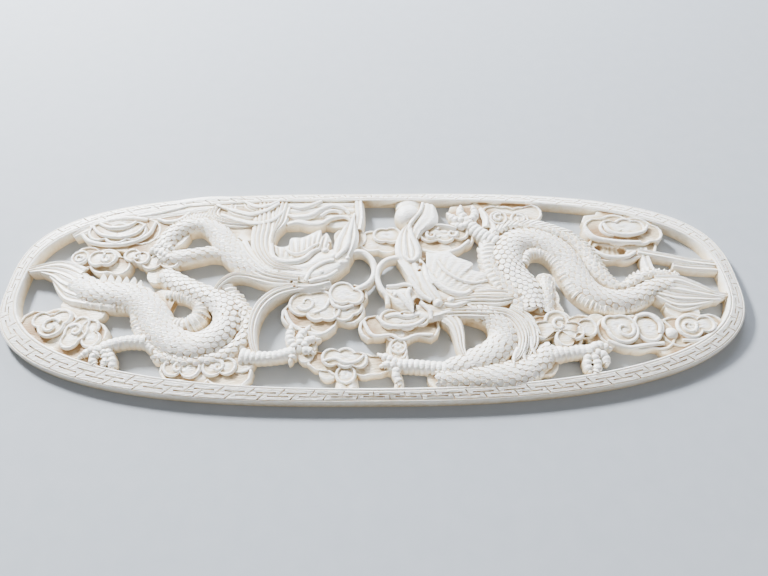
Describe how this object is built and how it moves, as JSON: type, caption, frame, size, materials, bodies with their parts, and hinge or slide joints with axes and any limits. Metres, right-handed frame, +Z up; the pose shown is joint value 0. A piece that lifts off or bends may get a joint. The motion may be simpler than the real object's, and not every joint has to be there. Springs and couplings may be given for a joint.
{
  "type": "carved ivory panel",
  "caption": "Oval pierced relief panel: two dragons and a flaming pearl among clouds inside a fretted border, flat on the back.",
  "frame": {"origin": "middle of the flat underside", "axes": "+X along the panel's length, +Y across it to the pearl's side, +Z up out of the carved face"},
  "size_m": [0.15, 0.0506, 0.004],
  "materials": {
    "ivory": "carved ivory, softly polished, with warm brown in the recesses"
  },
  "bodies": {
    "root": {"carved_panel": "ivory"}
  },
  "joints": []
}
